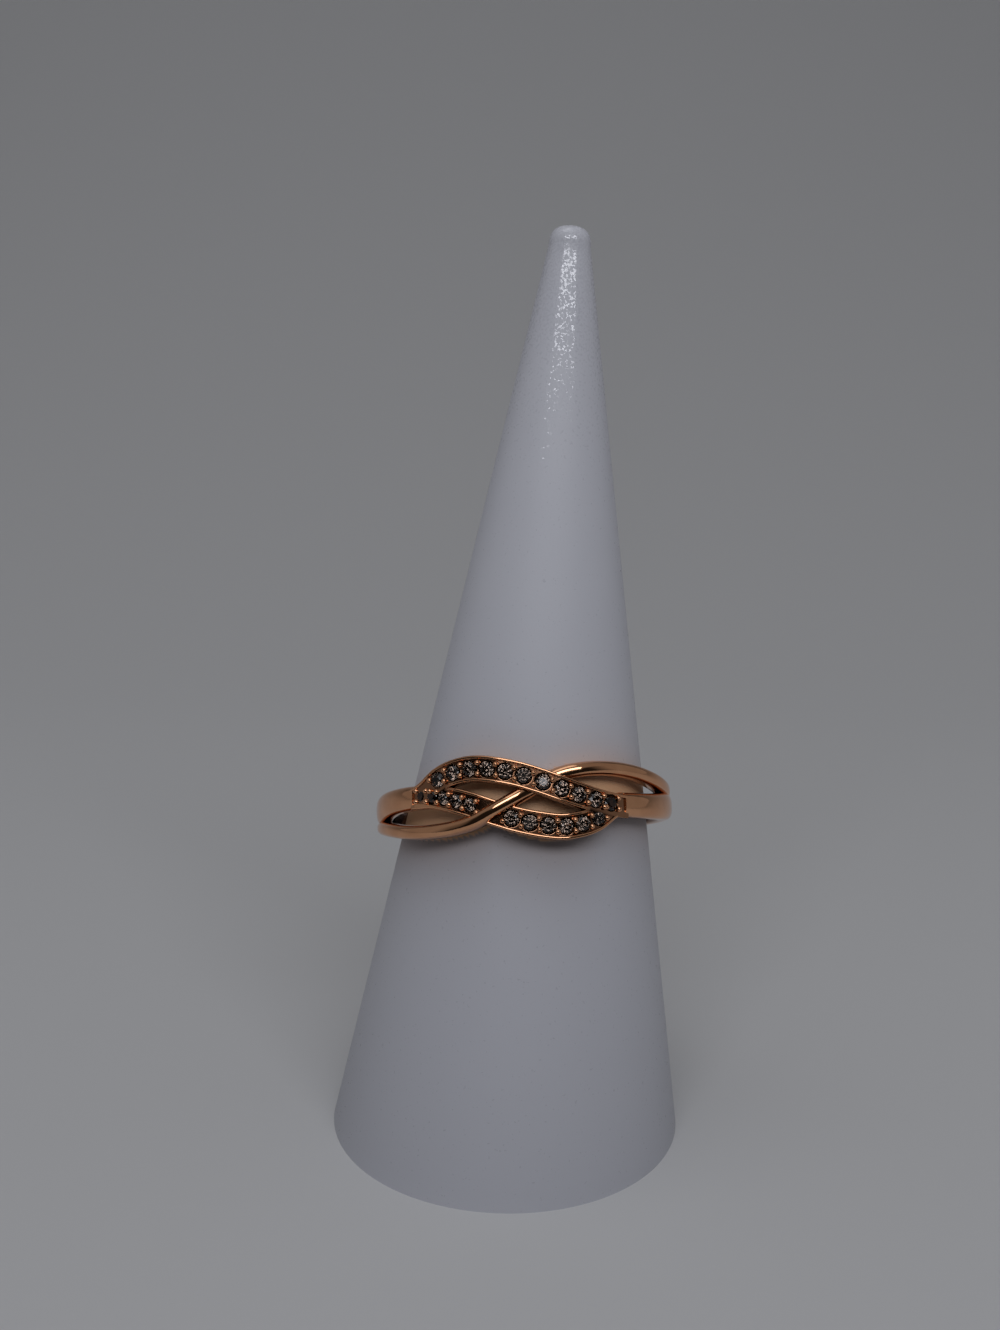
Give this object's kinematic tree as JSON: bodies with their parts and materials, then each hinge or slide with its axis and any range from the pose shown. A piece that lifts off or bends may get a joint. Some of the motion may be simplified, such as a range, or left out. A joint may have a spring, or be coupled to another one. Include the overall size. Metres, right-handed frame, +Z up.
{
  "type": "infinity ring on ring display cone",
  "caption": "Ring whose head is a plain strand and two stone-set strands crossing in an infinity weave, resting askew on a slim round-tipped display cone with a flat foot.",
  "frame": {"origin": "where the cone's axis meets the flat foot that it stands on", "axes": "+Z is up, away from the floor; -Y is the front, where the head of the ring is; +X is to the right seen from the front; the cone leans a few degrees towards +Y and +X"},
  "size_m": [0.025, 0.0251, 0.0629],
  "materials": {
    "display_plastic": "white moulded plastic with a soft satin gloss and a faint cool tint",
    "rose_gold": "polished rose gold plating",
    "clear_stone": "small clear round cut stones that look brown over the rose gold under them"
  },
  "bodies": {
    "root": {"cone": "display_plastic", "band": "rose_gold", "upper_stone_1": "clear_stone", "upper_stone_2": "clear_stone", "upper_stone_3": "clear_stone", "upper_stone_4": "clear_stone", "upper_stone_5": "clear_stone", "upper_stone_6": "clear_stone", "upper_stone_7": "clear_stone", "upper_stone_8": "clear_stone", "upper_stone_9": "clear_stone", "upper_stone_10": "clear_stone", "upper_stone_11": "clear_stone", "lower_stone_1": "clear_stone", "lower_stone_2": "clear_stone", "lower_stone_3": "clear_stone", "lower_stone_4": "clear_stone", "lower_stone_5": "clear_stone", "lower_stone_6": "clear_stone", "lower_stone_7": "clear_stone", "lower_stone_8": "clear_stone", "lower_stone_9": "clear_stone", "lower_stone_10": "clear_stone", "lower_stone_11": "clear_stone"}
  },
  "joints": []
}
